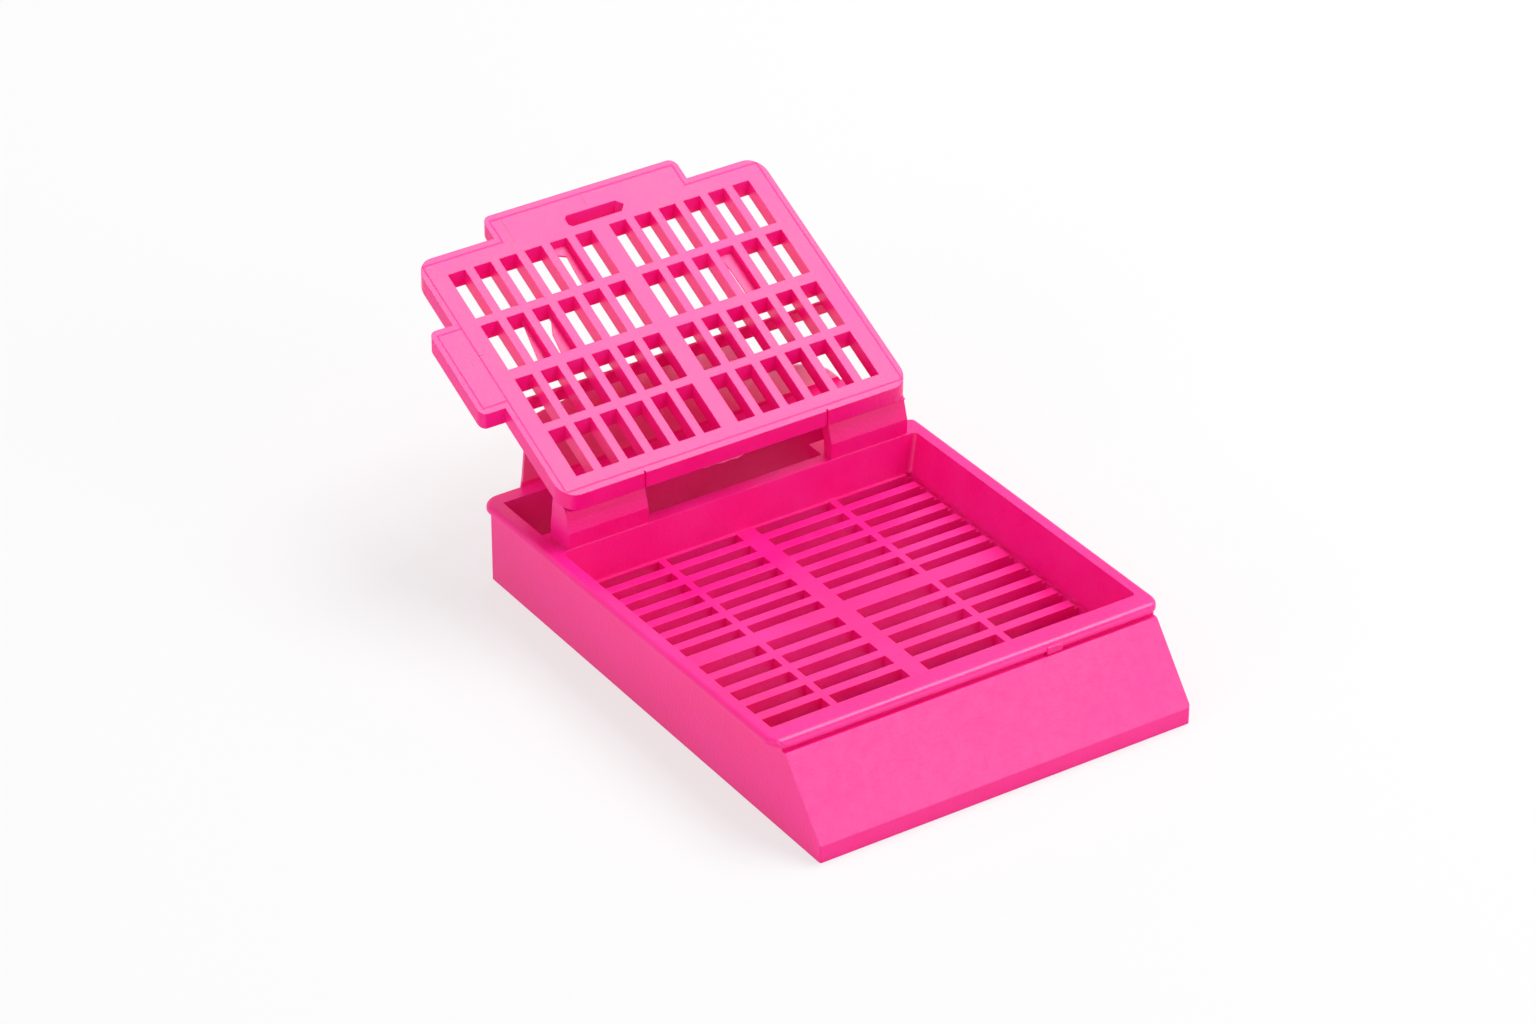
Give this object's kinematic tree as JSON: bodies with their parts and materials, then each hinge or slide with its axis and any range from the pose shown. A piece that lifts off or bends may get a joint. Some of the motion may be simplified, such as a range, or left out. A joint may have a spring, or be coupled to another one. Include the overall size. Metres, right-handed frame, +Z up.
{
  "type": "tissue cassette",
  "caption": "Slotted histology tissue cassette: a shallow tray with a slotted floor and slanted writing face, and a slotted lid standing open on two hinge posts.",
  "frame": {"origin": "middle of the tray's front bottom edge, on the surface it rests on", "axes": "+X to the right, +Y from the writing face towards the rear, +Z up"},
  "size_m": [0.0303, 0.051, 0.0196],
  "materials": {
    "pink_acetal": "satin"
  },
  "bodies": {
    "tray": {"cassette_base": "pink_acetal"},
    "lid": {"cassette_lid": "pink_acetal"}
  },
  "joints": [
    {"name": "lid_hinge", "type": "hinge", "parent": "tray", "child": "lid", "pos_m": [0, 0.03076, 0.00905], "axis": [1, 0, 0], "range_deg": [0, 160]}
  ]
}
